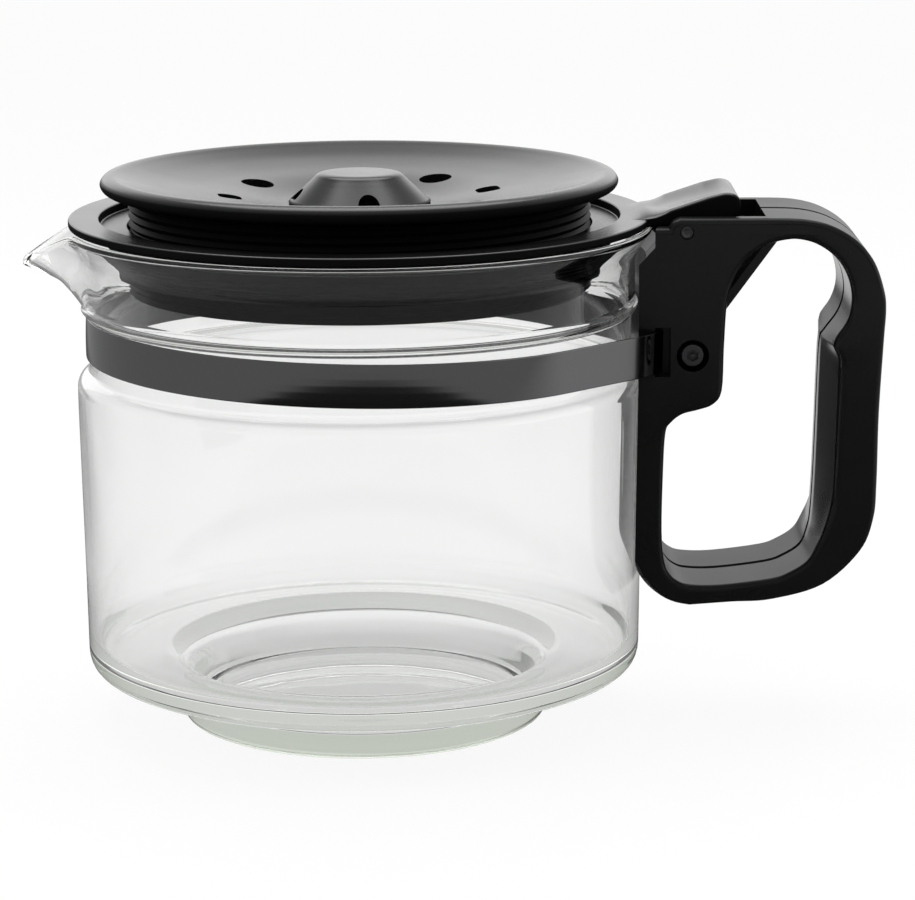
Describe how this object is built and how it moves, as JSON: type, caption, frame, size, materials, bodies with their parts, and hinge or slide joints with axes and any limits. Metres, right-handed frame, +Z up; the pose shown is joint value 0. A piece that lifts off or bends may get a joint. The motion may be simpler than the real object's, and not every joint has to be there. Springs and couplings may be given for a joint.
{
  "type": "coffee carafe",
  "caption": "Glass filter-coffee jug with spout, banded two-shell handle and hinged lid with thumb lever; the lid dish screws up and down in its ring.",
  "frame": {"origin": "centre of the foot's underside, where the jug stands", "axes": "+X towards the handle, +Y away from the side in the picture, +Z up"},
  "size_m": [0.2044, 0.1392, 0.1324],
  "materials": {
    "clear_glass": "clear polished",
    "band_steel": "black satin lacquer",
    "handle_plastic": "black satin",
    "lid_plastic": "black satin",
    "black_screw": "blackened",
    "bare_steel": "plain"
  },
  "bodies": {
    "jug": {"glass_jug": "clear_glass", "neck_band": "band_steel", "handle_front_half": "handle_plastic", "handle_rear_half": "handle_plastic", "clamp_screw": "black_screw", "clamp_nut": "bare_steel", "hinge_pin": "black_screw"},
    "lid_frame": {"lid_ring": "lid_plastic"},
    "lid_centre": {"lid_knob": "lid_plastic"},
    "lid_insert": {"lid_sleeve": "lid_plastic", "lid_dish": "lid_plastic"}
  },
  "joints": [
    {"name": "lid_hinge", "type": "hinge", "parent": "jug", "child": "lid_frame", "pos_m": [0.0768, 0, 0.12], "axis": [0, 1, 0], "range_deg": [0, 90]},
    {"name": "lid_rise", "type": "slide", "parent": "lid_frame", "child": "lid_centre", "axis": [0, 0, 1], "range_m": [-0.0041, 0.0081]},
    {"name": "lid_turn", "type": "hinge", "parent": "lid_centre", "child": "lid_insert", "pos_m": [0, 0, 0.125], "axis": [0, 0, 1], "range_deg": [-720, 1440]}
  ],
  "couplings": [
    {"joint": "lid_rise", "follows": "lid_turn", "m_per_rad": 0.00031831}
  ]
}
